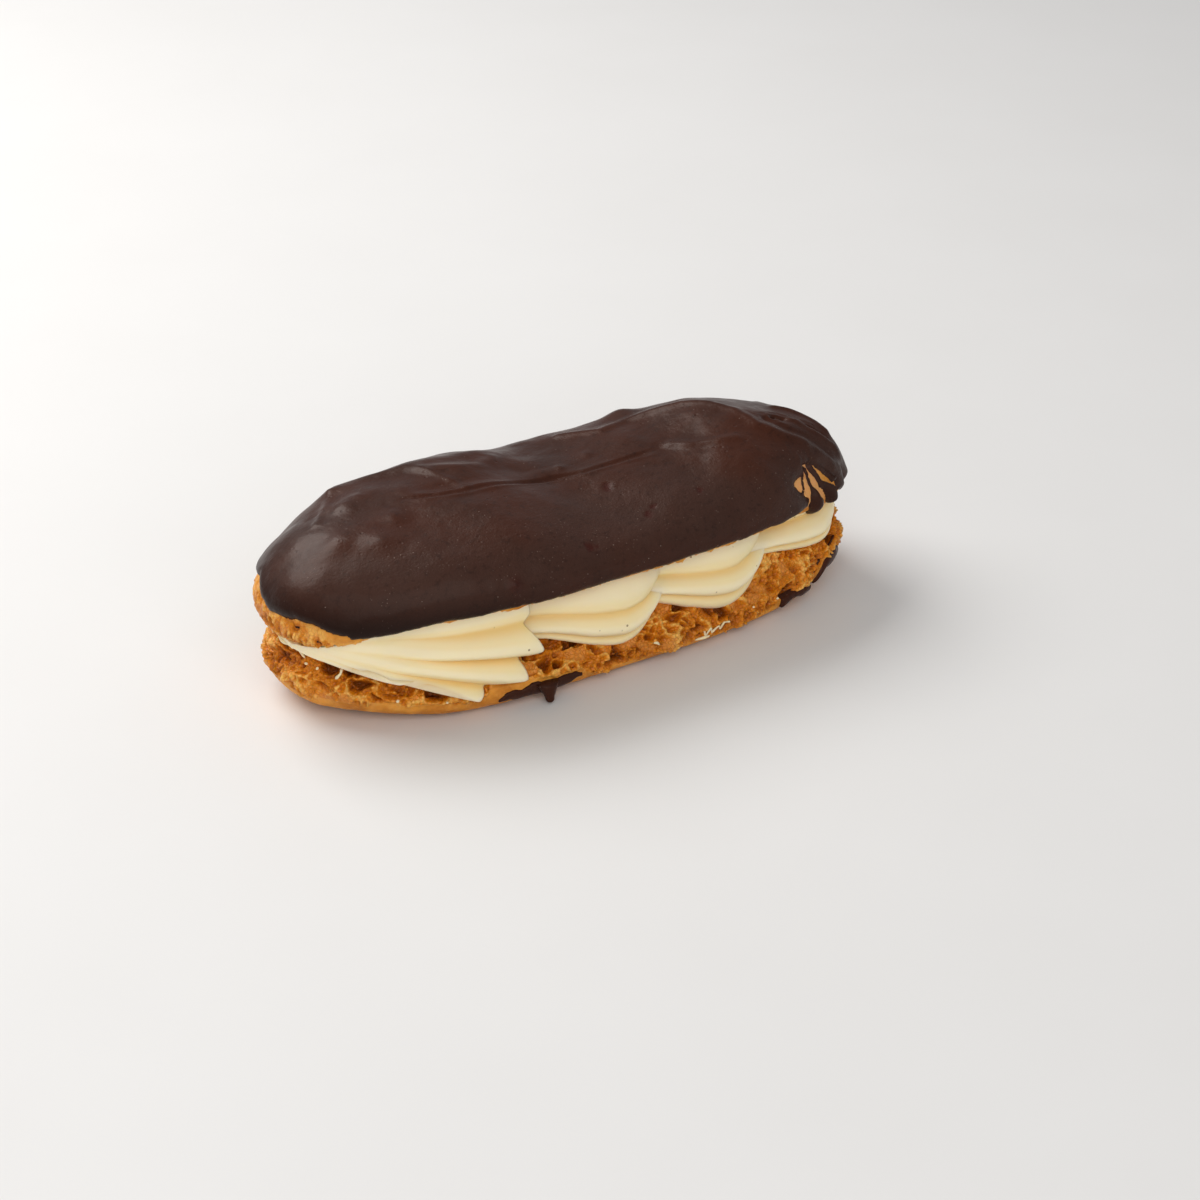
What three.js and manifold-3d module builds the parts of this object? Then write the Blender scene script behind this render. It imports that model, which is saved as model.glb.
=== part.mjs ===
// A chocolate eclair: a choux bun split along its sides, filled with piped cream and topped with chocolate.
// Millimetres. +X runs along the bun and +Z is up. The origin is under its middle, where it rests.
import * as THREE from 'three';
import { mergeVertices } from 'three/addons/utils/BufferGeometryUtils.js';
import Module from 'manifold-3d';

const wasm = await Module();
wasm.setup();

const { PI, abs, cos, exp, floor, hypot, max, min, sign, sin, sqrt } = Math;

// Driving dimensions of the whole bun
const bunLength = 145;
const bunWidth = 57.4;
const squareness = 2.4; // 2 would be an ellipse seen from above
const spineHalf = 42.7; // the bun's ridge line runs this far each way from the middle
const bow = -0.9; // how far the middle of the bun bows to the front
const taper = -0.055; // the right half is this much narrower, the left half wider
const belly = 1.3; // the front swells out a little left of the middle
const bellyAt = -34;
const bellyWidth = 20;
const rightLift = 1; // the right end curls up off the surface
const gap = 0.35; // between pieces that touch

// Lower half
const rimHeight = 11.5; // along the left half's sides
const rightSideRimHeight = 19; // along the right half's sides
const leftRimHeight = 17; // round the left end
const rightRimHeight = 18;
const floorHeight = 8;
const lipHeight = 4.2; // where the bottom crust is widest
const endLipHeight = 8.5;
const cornerInset = 6; // from the widest place in to the flat underside
const endCornerInset = 14;
const crustEdge = 2; // smooth crust above the widest place
const faceInset = 6; // how far the torn face leans in
const tallFaceInset = 7.5; // where the rim is high
const endFaceInset = 3.5;
const cragSize = 3.4;
const cragDepth = 1.3;

// Upper half
const crownStations = [-42.7, -24, 0, 24, 42.7];
const crownHeights = [38.6, 39.3, 35.5, 37.7, 41.5]; // the top rises and dips along the bun
const widestAbove = 3.2; // the lid is widest this far above its lower edge
const rightWidestAbove = 2;
const tuckIn = 2.2;
const leftDome = 2.1; // 2 is a round dome, more is squarer
const middleDome = 2.35;
const rightDome = 1.8;
const openLidEdge = 25.4; // the lid's lower edge along the sides
const leftLidEdge = 18.8; // at the left end it meets the lower half
const rightLidEdge = 21;
const ceilingRise = 6;

// Chocolate
const chocolateThickness = 1.7;
const chocolateEndSide = -0.95; // radians round the lid's side, where the chocolate ends
const chocolateEndLeft = 0.12;
const chocolateEndRight = -0.2;
const smearGap = 0.65; // keeps the smears clear of the crust's roughness
const smearEdge = 0.2;
const smearThickness = 0.9;
const dropRoot = [-19.9, -31.1];
const dropTop = 3.4;
const dropTip = 0.35; // just clear of the surface below

// Piped cream: shells in a row, each piped over the tail of the one to its right
const creamOverhang = 1.5; // beyond the crust's outline
const ridgesEachSide = 6;
const ridgeDepth = 0.11; // share of the width
const ridgeStagger = 4; // the grooves end this much sooner than the crests

// Resolution
const lidTurns = 104;
const baseTurns = 124;
const cutterTurns = 52;

const mix = (a, b, t) => a + (b - a) * t;
const clamp = (v, low, high) => min(high, max(low, v));
const smooth = (from, to, v) => {
  const t = clamp((v - from) / (to - from), 0, 1);
  return t * t * (3 - 2 * t);
};
const bell = (v, middle, width) => exp(-(((v - middle) / width) ** 2));

// How near a place is to either end, from 0 along the sides to 1 at the tips
const leftness = (x) => smooth(-0.55, -0.97, x / (bunLength / 2));
const rightness = (x) => smooth(0.66, 0.98, x / (bunLength / 2));
const endness = (x) => max(leftness(x), rightness(x));

// A size that has one value along the sides and another at each end
const bySide = (x, side, left, right) => side + (left - side) * leftness(x) + (right - side) * rightness(x);

function outline(turn) {
  const c = cos(turn);
  const s = sin(turn);
  const along = sign(c) * abs(c) ** (2 / squareness) * (bunLength / 2);
  const across = sign(s) * abs(s) ** (2 / squareness) * (bunWidth / 2);
  return [along, across];
}

// Turns whose outline points lie evenly apart, alike on the front and the back
function evenTurns(count) {
  const fine = 3000;
  const walked = [0];
  for (let i = 1; i <= fine; i++) {
    const [x0, y0] = outline((PI * (i - 1)) / fine);
    const [x1, y1] = outline((PI * i) / fine);
    walked.push(walked[i - 1] + hypot(x1 - x0, y1 - y0));
  }
  const half = [];
  for (let i = 0, k = 0; i <= count / 2; i++) {
    const goal = (walked[fine] * i) / (count / 2);
    while (k < fine && walked[k] < goal) k++;
    half.push((PI * k) / fine);
  }
  const back = half.slice(1, -1).reverse();
  return [...half, ...back.map((turn) => -turn)];
}

// The bun's slight bow and taper, seen from above
function bend([x, y, z]) {
  const along = x / (bunLength / 2);
  const swell = belly * bell(x, bellyAt, bellyWidth) * smooth(-8, -26, y);
  const across = y * (1 + taper * along) - bow * (1 - along * along) - swell;
  return [x, across, z + rightLift * smooth(0.45, 1, along)];
}

function halfWidth(x) {
  const along = min(0.98, abs(x) / (bunLength / 2));
  return (1 - along ** squareness) ** (1 / squareness) * (bunWidth / 2);
}

const spineX = (turn) => clamp(outline(turn)[0], -spineHalf, spineHalf);
const reach = (turn) => hypot(outline(turn)[0] - spineX(turn), outline(turn)[1]);

// A place that lies inset from the outline towards the spine, before the bend
function inward(turn, inset, z) {
  const [x, y] = outline(turn);
  const sx = spineX(turn);
  const k = 1 - inset / reach(turn);
  return [sx + (x - sx) * k, y * k, z];
}

// Repeatable lumps from 0 to 1, about one unit across
function hash(i, j, k) {
  const v = sin(i * 127.1 + j * 311.7 + k * 74.7) * 43758.5453;
  return v - floor(v);
}
function lumps(x, y, z) {
  const [i, j, k] = [floor(x), floor(y), floor(z)];
  const [u, v, w] = [smooth(0, 1, x - i), smooth(0, 1, y - j), smooth(0, 1, z - k)];
  const row = (b, c) => mix(hash(i, j + b, k + c), hash(i + 1, j + b, k + c), u);
  return mix(mix(row(0, 0), row(1, 0), v), mix(row(0, 1), row(1, 1), v), w);
}

// Shared vertices and no collapsed triangles
function tidy(positions, index) {
  const geometry = new THREE.BufferGeometry();
  geometry.setAttribute('position', new THREE.Float32BufferAttribute(positions, 3));
  geometry.setIndex(index);
  const merged = mergeVertices(geometry, 1e-3);
  const kept = [];
  const all = merged.index.array;
  for (let i = 0; i < all.length; i += 3) {
    const [a, b, c] = [all[i], all[i + 1], all[i + 2]];
    if (a !== b && b !== c && c !== a) kept.push(a, b, c);
  }
  merged.setIndex(turnedOut(kept, merged.attributes.position.array));
  return merged;
}

// The same triangles, facing out whichever way the rings ran
function turnedOut(index, p) {
  let volume = 0;
  for (let i = 0; i < index.length; i += 3) {
    const [a, b, c] = [index[i] * 3, index[i + 1] * 3, index[i + 2] * 3];
    volume += p[a] * (p[b + 1] * p[c + 2] - p[b + 2] * p[c + 1]);
    volume += p[a + 1] * (p[b + 2] * p[c] - p[b] * p[c + 2]);
    volume += p[a + 2] * (p[b] * p[c + 1] - p[b + 1] * p[c]);
  }
  return volume > 0 ? index : index.reverse();
}

// A closed solid from rings round the bun, the first and last ring lying on the spine
function ringSolid(turns, ringCount, pointAt) {
  const positions = [];
  for (let k = 0; k < ringCount; k++) {
    for (const turn of turns) positions.push(...bend(pointAt(turn, k)));
  }
  const index = [];
  for (let k = 0; k + 1 < ringCount; k++) {
    for (let i = 0; i < turns.length; i++) {
      const a = k * turns.length + i;
      const b = k * turns.length + ((i + 1) % turns.length);
      index.push(a, b, b + turns.length, a, b + turns.length, a + turns.length);
    }
  }
  return tidy(positions, index);
}

// A closed solid from rings along a line, with a point at each end
function tubeSolid(rings, firstPoint, lastPoint) {
  const around = rings[0].length;
  const positions = [...rings.flat(2), ...firstPoint, ...lastPoint];
  const first = rings.length * around;
  const index = [];
  for (let i = 0; i + 1 < rings.length; i++) {
    for (let j = 0; j < around; j++) {
      const a = i * around + j;
      const b = i * around + ((j + 1) % around);
      index.push(a, b + around, b, a, a + around, b + around);
    }
  }
  const last = (rings.length - 1) * around;
  for (let j = 0; j < around; j++) {
    index.push(first, j, (j + 1) % around);
    index.push(first + 1, last + ((j + 1) % around), last + j);
  }
  return tidy(positions, index);
}

const toManifold = (geometry) =>
  new wasm.Manifold(
    new wasm.Mesh({
      numProp: 3,
      vertProperties: geometry.attributes.position.array,
      triVerts: new Uint32Array(geometry.index.array),
    }),
  );

function toGeometry(manifold) {
  const mesh = manifold.getMesh();
  const geometry = new THREE.BufferGeometry();
  geometry.setAttribute('position', new THREE.BufferAttribute(mesh.vertProperties, 3));
  geometry.setIndex(new THREE.BufferAttribute(mesh.triVerts, 1));
  return geometry;
}

// The lower half's sizes at a place along the bun
function baseSizes(x) {
  const ends = endness(x);
  const tall = smooth(-10, 40, x);
  const lip = mix(lipHeight, endLipHeight, ends);
  const rim = bySide(x, mix(rimHeight, rightSideRimHeight, tall), leftRimHeight, rightRimHeight);
  return {
    lip,
    edge: lip + crustEdge,
    corner: mix(cornerInset, endCornerInset, ends),
    face: mix(mix(faceInset, tallFaceInset, tall), endFaceInset, ends),
    rim,
    bed: mix(floorHeight + 1, rim - 4, max(ends, tall * 0.6)), // the hollow's side rises under the cream
    bedInset: 6.5 + 7 * ends,
  };
}

// A place on the bottom crust: swing runs from 0 on the flat to PI/2 at the widest place, then on up
function onCorner(turn, swing, lift) {
  const { lip, corner } = baseSizes(outline(turn)[0]);
  const [s, c] = [sin(min(swing, PI / 2)), cos(min(swing, PI / 2))];
  const above = lip * max(0, swing - PI / 2);
  return inward(turn, corner * (1 - s) - lift * s, lip * (1 - c) - lift * c + above);
}

// The lower half: flat underside, round corner, band of crust, torn face leaning in, and hollow for the cream
function lowerHalf() {
  const swings = [0, PI / 6, PI / 3, PI / 2];
  const faceShares = [0.3, 0.65, 1];
  const rings = [
    (turn) => [reach(turn), 0, 0],
    (turn) => [mix(reach(turn), baseSizes(outline(turn)[0]).corner, 0.6), 0, 0],
    ...swings.map((swing) => (turn) => {
      const { lip, corner } = baseSizes(outline(turn)[0]);
      return [corner * (1 - sin(swing)), lip * (1 - cos(swing)), 0];
    }),
    (turn) => [0.2, baseSizes(outline(turn)[0]).edge, 0.35],
    ...faceShares.map((share) => (turn) => {
      const { edge, rim, face } = baseSizes(outline(turn)[0]);
      return [mix(0.4, face, share), mix(edge, rim, share), 1];
    }),
    (turn) => {
      const { rim, face } = baseSizes(outline(turn)[0]);
      return [face + 2.5, rim - 0.5, 0.8];
    },
    (turn) => {
      const { face, bed, bedInset } = baseSizes(outline(turn)[0]);
      return [face + bedInset, bed, 0];
    },
    (turn) => [reach(turn), floorHeight, 0],
  ];
  return ringSolid(evenTurns(baseTurns), rings.length, (turn, k) => {
    const [inset, z, rough] = rings[k](turn);
    const [x, y] = inward(turn, inset, z);
    const crag = (lumps(x / cragSize, y / cragSize, z / cragSize) - 0.5) * 2 * cragDepth * rough;
    return inward(turn, inset - crag * 0.7, z + crag * 0.7);
  });
}

const lidEdge = (x) => bySide(x, openLidEdge, leftLidEdge, rightLidEdge);
const lidWidest = (x) => mix(widestAbove, rightWidestAbove, smooth(10, 60, x));

function crownAt(x) {
  let k = 0;
  while (k + 2 < crownStations.length && x > crownStations[k + 1]) k++;
  return mix(crownHeights[k], crownHeights[k + 1], smooth(crownStations[k], crownStations[k + 1], x));
}

// The chocolate's soft bumps, the long crease on top and the fold behind it, in mm above the even surface
function ripples(x, y) {
  const crease = bell(y, 1 - 0.06 * x, 2.5) * smooth(-42, -30, x) * smooth(30, 15, x);
  const fold = bell(y, 18, 3) * smooth(-54, -45, x) * smooth(0, -14, x);
  const knob = bell(x, 28, 4) * bell(y, 22, 4);
  const slow = 0.5 * sin(x * 0.13 + 0.6) * cos(y * 0.17 + x * 0.04) + 0.35 * sin(x * 0.31 + y * 0.22);
  return fold + knob - 1.1 * crease + slow;
}

// A place on the lid's outer face: round runs from -PI/2 at the lower edge, past 0 at the widest, to PI/2
function onLid(turn, round, lift) {
  const x = outline(turn)[0];
  const widest = lidEdge(x) + lidWidest(x);
  if (round < 0) {
    const inset = tuckIn * (1 - cos(round)) - lift * cos(round);
    return inward(turn, inset, widest + (lidWidest(x) + lift) * sin(round));
  }
  const along = x / (bunLength / 2);
  const power =
    middleDome +
    (leftDome - middleDome) * smooth(-0.35, -0.98, along) +
    (rightDome - middleDome) * smooth(0.35, 0.98, along);
  const full = reach(turn);
  const crown = crownAt(spineX(turn));
  const c = max(cos(round), 0) ** (2 / power);
  const s = sin(round) ** (2 / power);
  const [px, py] = inward(turn, full * (1 - c), 0);
  const raised = lift + ripples(px, py) * smooth(0.1, 0.6, round) * 0.6;
  const nr = c ** (power - 1) / full;
  const nz = s ** (power - 1) / (crown - widest);
  const size = hypot(nr, nz);
  return inward(turn, full * (1 - c) - (raised * nr) / size, mix(widest, crown, s) + (raised * nz) / size);
}

const lidRounds = [-PI / 2, -1, -0.5, 0, 0.35, 0.7, 1.1, PI / 2];

function upperHalf() {
  const inner = [
    (turn) => inward(turn, reach(turn), lidEdge(spineX(turn)) + ceilingRise),
    (turn) => inward(turn, tuckIn + 7, lidEdge(outline(turn)[0]) + ceilingRise * 0.7),
    (turn) => inward(turn, tuckIn + 2.4, lidEdge(outline(turn)[0]) + 0.9),
  ];
  const ragged = (turn) => {
    const [x, y] = outline(turn);
    return (lumps(x / cragSize, y / cragSize, 7) - 0.5) * mix(0.6, 1.4, leftness(x));
  };
  return ringSolid(evenTurns(lidTurns), inner.length + lidRounds.length, (turn, k) => {
    if (k < inner.length) return inner[k](turn);
    const round = lidRounds[k - inner.length];
    const [x, y, z] = onLid(turn, round, 0);
    return [x, y, round < -1 ? z + ragged(turn) : z];
  });
}

// Where the chocolate ends, round the lid's side
function chocolateEnd(turn) {
  const wave = 0.08 * sin(turn * 9) + 0.05 * sin(turn * 23 + 1);
  return bySide(outline(turn)[0], chocolateEndSide, chocolateEndLeft, chocolateEndRight) + wave;
}

// Bare streaks of crust between fingers of chocolate, at the right end towards the front: [turn, width]
const bareStreaks = [
  [-0.83, 0.07],
  [-0.68, 0.12],
  [-0.5, 0.14],
];

// A wedge through the chocolate that narrows upwards
function streakCutter([turn, width]) {
  const rounds = [-1.5, -0.4, 0.4, 0.95];
  const widths = [1.3, 1.2, 0.9, 0.3];
  const rings = rounds.map((round, k) => {
    const half = (width * widths[k]) / 2;
    return [
      bend(onLid(turn - half, round, -0.2)),
      bend(onLid(turn + half, round, -0.2)),
      bend(onLid(turn + half, round, 5)),
      bend(onLid(turn - half, round, 5)),
    ];
  });
  return tubeSolid(rings, bend(onLid(turn, rounds[0], 2)), bend(onLid(turn, rounds[3], 2)));
}

function chocolateTop() {
  const rounds = lidRounds.slice(1); // the lid's own rings, so that the two fit face to face
  const inner = [...rounds].reverse().map((round) => [round, gap]);
  const outer = rounds.map((round, k) => [round, gap + chocolateThickness * (k ? 1 : 0.7)]);
  const rings = [...inner, ...outer];
  const shell = ringSolid(evenTurns(lidTurns), rings.length, (turn, k) => {
    const [round, lift] = rings[k];
    return onLid(turn, max(round, chocolateEnd(turn)), lift);
  });
  const cutters = bareStreaks.map((streak) => toManifold(streakCutter(streak)));
  return cutters.reduce((left, cutter) => left.subtract(cutter), toManifold(shell));
}

// Points round a shell's section, from -1 to 1 across and up, and each one's share of the way over the ridges
function sectionPoints(square) {
  const count = ridgesEachSide * 3;
  const side = [];
  for (let i = 0; i <= count; i++) {
    const up = mix(-0.96, 0.96, i / count);
    side.push([(1 - abs(up) ** square) ** (1 / square), up, i / count]);
  }
  const top = [0.5, 0, -0.5].map((across) => [across, 1, 0]);
  const front = side.map(([across, up, ridge]) => [-across, up, ridge]).reverse();
  const under = [-0.5, 0, 0.5].map((across) => [across, -1, 0]);
  return [...side, ...top, ...front, ...under];
}

// One shell of cream: a tail at its left and a fat end at its right, where the lower ridges end sooner
function pipedShell({ right, length, tall, middle, tail, bulb, slant, square }) {
  const stations = 10;
  const rings = [];
  for (let i = 0; i <= stations; i++) {
    const share = (i / stations) ** 1.4;
    const swell = (1 - (1 - min(1, (share + 0.02) / bulb)) ** 2) ** 0.6;
    const size = swell * mix(1, tail, smooth(bulb * 0.6, 1, share));
    const ring = sectionPoints(square).map(([across, up, ridge]) => {
      const crest = abs(cos(PI * ridgesEachSide * ridge)) ** 1.5;
      const blade = 1 - ridgeDepth * (1 - crest);
      const sooner = (slant * (1 - up)) / 2 + ridgeStagger * (1 - crest);
      const x = right - length * share - sooner * (1 - share);
      const y = across * mix(0.75, 1, size) * blade * (halfWidth(x) + creamOverhang);
      return bend([x, y, middle + tall * up * size]);
    });
    rings.push(ring);
  }
  const end = bend([right - length - 1, 0, middle]);
  return tubeSolid(rings, bend([right - slant * 0.5, 0, middle]), end);
}

const shells = [
  { right: 69, length: 38, tall: 9, middle: 21, tail: 0.8, bulb: 0.3, slant: 8, square: 4 },
  { right: 60, length: 52, tall: 13, middle: 18.5, tail: 0.8, bulb: 0.5, slant: 26, square: 4 },
  { right: 29, length: 52, tall: 13.5, middle: 18, tail: 0.8, bulb: 0.5, slant: 28, square: 4 },
  { right: -9, length: 60, tall: 15.5, middle: 17.5, tail: 0.2, bulb: 0.2, slant: 18, square: 6.5 },
];

// What the lower half fills, a little larger, to cut the cream clear of it
function bedCutter() {
  const clear = gap + cragDepth / 2;
  const below = -5;
  const rings = ({ edge, rim, face, bed, bedInset }, full) => [
    [full, below],
    [-clear, below],
    [-clear, edge],
    [0, edge + clear],
    [face - clear, rim + clear],
    [face + 2.5, rim + clear],
    [face + bedInset, bed + clear],
    [full, floorHeight + gap],
  ];
  return ringSolid(evenTurns(cutterTurns), 8, (turn, k) =>
    inward(turn, ...rings(baseSizes(outline(turn)[0]), reach(turn))[k]),
  );
}

// The same for the upper half
function ceilingCutter() {
  const [outside, above] = [-4, 60];
  return ringSolid(evenTurns(cutterTurns), 6, (turn, k) => {
    const x = outline(turn)[0];
    const under = lidEdge(x) - gap - mix(0.6, 1.7, leftness(x));
    const rings = [
      [reach(turn), lidEdge(spineX(turn)) + ceilingRise - gap],
      [tuckIn + 7, lidEdge(x) + ceilingRise * 0.7 - gap],
      [tuckIn + 1.6, under + 0.5],
      [outside, under],
      [outside, above],
      [reach(turn), above],
    ];
    return inward(turn, ...rings[k]);
  });
}

function pipedCream() {
  const joined = shells.map((shell) => toManifold(pipedShell(shell))).reduce((all, shell) => all.add(shell));
  const cut = joined.subtract(toManifold(bedCutter())).subtract(toManifold(ceilingCutter()));
  return cut.decompose().reduce((largest, piece) => (piece.volume() > largest.volume() ? piece : largest));
}

// A thick smear of chocolate on the lower crust, thin at its edges
function smear(fromTurn, toTurn, fromSwing, toSwing) {
  const along = 12;
  const up = 5;
  const rings = [];
  for (let i = 0; i <= along; i++) {
    const share = i / along;
    const fullness = sqrt(max(0.04, 1 - (2 * share - 1) ** 2));
    const swingAt = (k) => mix(fromSwing, toSwing, 0.5 + (k / up - 0.5) * fullness);
    const place = (k, lift) => bend(onCorner(mix(fromTurn, toTurn, share), swingAt(k), lift));
    const ring = [];
    for (let k = 0; k <= up; k++) ring.push(place(k, smearGap));
    for (let k = up; k >= 0; k--) {
      const proud = smearEdge + smearThickness * fullness * sin((PI * k) / up);
      ring.push(place(k, smearGap + proud));
    }
    rings.push(ring);
  }
  const middle = (fromSwing + toSwing) / 2;
  const first = bend(onCorner(mix(fromTurn, toTurn, -0.02), middle, smearGap + smearEdge / 2));
  const last = bend(onCorner(mix(fromTurn, toTurn, 1.02), middle, smearGap + smearEdge / 2));
  return toManifold(tubeSolid(rings, first, last));
}

// A hanging drop, from its wide root down to its rounded tip
function drop([x, y], topZ, tipZ, rootRadius) {
  const steps = 6;
  const around = 10;
  const rings = [];
  for (let i = 0; i <= steps; i++) {
    const share = i / steps;
    const radius = rootRadius * mix(1, 0.4, sqrt(share)) + 0.25 * bell(share, 0.9, 0.15);
    const wide = radius * mix(1.7, 1, min(1, share * 2));
    const z = mix(topZ, tipZ + 0.15, share);
    const ring = [];
    for (let j = 0; j < around; j++) {
      const turn = (2 * PI * j) / around;
      ring.push([x + wide * cos(turn), y + radius * sin(turn), z]);
    }
    rings.push(ring);
  }
  return toManifold(tubeSolid(rings, [x, y, topZ], [x, y, tipZ]));
}

const frontSmear = () => smear(-1.93, -1.64, 0.85, 1.95).add(drop(dropRoot, dropTop, dropTip, 1));
const rightSmear = () => smear(-0.95, -0.45, 0.9, 1.75);

const baked = (color, roughness) => new THREE.MeshStandardMaterial({ color, roughness, metalness: 0 });
const crust = baked('#c07c33', 0.75);
const cream = baked('#f3e3b4', 0.5);
const chocolate = baked('#3c2622', 0.35);

function named(name, geometry, material) {
  const mesh = new THREE.Mesh(geometry, material);
  mesh.name = name;
  return mesh;
}

const eclair = new THREE.Group();
eclair.add(
  named('choux_base', lowerHalf(), crust),
  named('choux_lid', upperHalf(), crust),
  named('chocolate_top', toGeometry(chocolateTop()), chocolate),
  named('piped_cream', toGeometry(pipedCream()), cream),
  named('chocolate_drip', toGeometry(frontSmear()), chocolate),
  named('chocolate_smear', toGeometry(rightSmear()), chocolate),
);

const box = new THREE.Box3().setFromObject(eclair);
eclair.position.set(-(box.min.x + box.max.x) / 2, -(box.min.y + box.max.y) / 2, -box.min.z);

export default eclair;
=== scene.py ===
import math
from collections import Counter
from itertools import product

import bmesh
import bpy
import numpy as np
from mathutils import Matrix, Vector


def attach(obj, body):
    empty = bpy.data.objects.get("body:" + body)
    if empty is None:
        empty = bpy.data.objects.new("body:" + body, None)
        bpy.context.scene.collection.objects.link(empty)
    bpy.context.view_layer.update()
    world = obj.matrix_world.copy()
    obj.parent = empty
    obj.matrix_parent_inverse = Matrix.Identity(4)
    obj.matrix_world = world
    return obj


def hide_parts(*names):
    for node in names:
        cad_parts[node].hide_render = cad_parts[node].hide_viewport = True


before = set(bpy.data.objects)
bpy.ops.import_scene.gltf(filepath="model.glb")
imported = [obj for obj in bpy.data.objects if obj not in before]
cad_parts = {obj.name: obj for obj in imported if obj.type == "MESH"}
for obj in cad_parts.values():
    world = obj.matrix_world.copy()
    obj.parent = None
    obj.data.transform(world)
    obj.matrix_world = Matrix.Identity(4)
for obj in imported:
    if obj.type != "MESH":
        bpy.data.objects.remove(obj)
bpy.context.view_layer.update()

# the whole eclair, in mm: x runs along it, the front is at -y, z is up
bun = {
    "length": 145,
    "width": 57.4,
    "squareness": 2.4,  # 2 would be an ellipse from above
    "spineHalf": 42.7,  # the ridge line runs this far each way
    "bow": -0.9,
    "taper": -0.055,
    "belly": 1.3,
    "bellyAt": -34,
    "bellyWidth": 20,
    "rightLift": 1,
    "shift": (-0.05, 0.144, 0),  # where the bun's own middle lies in the frame
}


def mix(a, b, t):
    return a + (b - a) * t


def smooth(low, high, v):
    t = np.clip((v - low) / (high - low), 0, 1)
    return t * t * (3 - 2 * t)


def bell(v, middle, width):
    return np.exp(-(((v - middle) / width) ** 2))


# 0 along the side, 1 at the tip of that end
def leftness(x):
    return smooth(-0.55, -0.97, x / (bun["length"] / 2))


def rightness(x):
    return smooth(0.66, 0.98, x / (bun["length"] / 2))


def bySide(x, side, left, right):
    return side + (left - side) * leftness(x) + (right - side) * rightness(x)


def outline(turn):
    c, s = np.cos(turn), np.sin(turn)
    x = np.sign(c) * np.abs(c) ** (2 / bun["squareness"]) * bun["length"] / 2
    y = np.sign(s) * np.abs(s) ** (2 / bun["squareness"]) * bun["width"] / 2
    return x, y


# turns whose outline points lie evenly apart, alike on the front and the back
def evenTurns(count):
    fine = np.linspace(0, math.pi, 4001)
    x, y = outline(fine)
    walked = np.concatenate([[0], np.cumsum(np.hypot(np.diff(x), np.diff(y)))])
    half = np.interp(np.linspace(0, walked[-1], count // 2 + 1), walked, fine)
    return np.concatenate([half, -half[-2:0:-1]])


def bend(p):
    x, y, z = p[..., 0], p[..., 1], p[..., 2]
    along = x / (bun["length"] / 2)
    swell = bun["belly"] * bell(x, bun["bellyAt"], bun["bellyWidth"]) * smooth(-8, -26, y)
    across = y * (1 + bun["taper"] * along) - bun["bow"] * (1 - along * along) - swell
    return np.stack([x, across, z + bun["rightLift"] * smooth(0.45, 1, along)], -1)


def halfWidth(x):
    along = np.minimum(0.98, np.abs(x) / (bun["length"] / 2))
    q = bun["squareness"]
    return (1 - along**q) ** (1 / q) * bun["width"] / 2


def spineX(turn):
    return np.clip(outline(turn)[0], -bun["spineHalf"], bun["spineHalf"])


def reach(turn):
    x, y = outline(turn)
    return np.hypot(x - spineX(turn), y)


def inward(turn, inset, z):
    x, y = outline(turn)
    sx = spineX(turn)
    k = 1 - inset / reach(turn)
    return np.stack(np.broadcast_arrays(sx + (x - sx) * k, y * k, z), -1)


# repeatable random values from 0 to 1 for whole-number places
def drawn(i, j, k, seed):
    n = i.astype(np.uint64) * np.uint64(374761393) + j.astype(np.uint64) * np.uint64(668265263)
    n = n + k.astype(np.uint64) * np.uint64(2246822519) + np.uint64(seed * 3266489917 % 2**32)
    n = n & np.uint64(0xFFFFFFFF)
    n = ((n ^ (n >> np.uint64(13))) * np.uint64(1274126177)) & np.uint64(0xFFFFFFFF)
    n = n ^ (n >> np.uint64(16))
    return (n & np.uint64(0xFFFFFF)).astype(float) / 0xFFFFFF


# soft random hills and dips from -1 to 1, about one size apart
def lumps(p, size, seed):
    q = p / np.asarray(size, float) + 11.3 * seed
    f = np.floor(q)
    u = q - f
    u = u * u * (3 - 2 * u)
    f = f.astype(np.int64)
    total = 0
    for a, b, c in product((0, 1), repeat=3):
        weight = abs(1 - a - u[..., 0]) * abs(1 - b - u[..., 1]) * abs(1 - c - u[..., 2])
        total = total + weight * drawn(f[..., 0] + a, f[..., 1] + b, f[..., 2] + c, seed)
    return total * 2 - 1


def roughness(p, size, octaves, seed):
    layers = [lumps(p, np.asarray(size, float) / 2**k, seed + k) * 0.5**k for k in range(octaves)]
    return sum(layers)


# bubbles packed side by side: how near the middle, how near a wall, and each one's own draw
def bubbles(p, size, seed):
    q = p / np.asarray(size, float)
    f = np.floor(q).astype(np.int64)
    nearest = np.full(q.shape[:-1], 9.0)
    second = nearest.copy()
    own = np.zeros(q.shape[:-1])
    for step in product((-1, 0, 1), repeat=3):
        cell = [f[..., m] + step[m] for m in range(3)]
        away = [cell[m] + 0.1 + 0.8 * drawn(*cell, seed + m) - q[..., m] for m in range(3)]
        d = np.sqrt(away[0] ** 2 + away[1] ** 2 + away[2] ** 2)
        own = np.where(d < nearest, drawn(*cell, seed + 4), own)
        second = np.where(d < nearest, nearest, np.minimum(second, d))
        nearest = np.minimum(nearest, d)
    return nearest, second - nearest, own


# which way a closed grid of rings faces, at each point
def facing(grid):
    across = np.roll(grid, -1, 1) - np.roll(grid, 1, 1)
    along = np.gradient(grid, axis=0)
    n = np.cross(across, along)
    side = np.sign(np.sum(grid * n))
    return side * n / np.maximum(np.linalg.norm(n, axis=-1, keepdims=True), 1e-9)


def placed(name, data):
    thing = bpy.data.objects.new(name, data)
    bpy.context.collection.objects.link(thing)
    return thing


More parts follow.
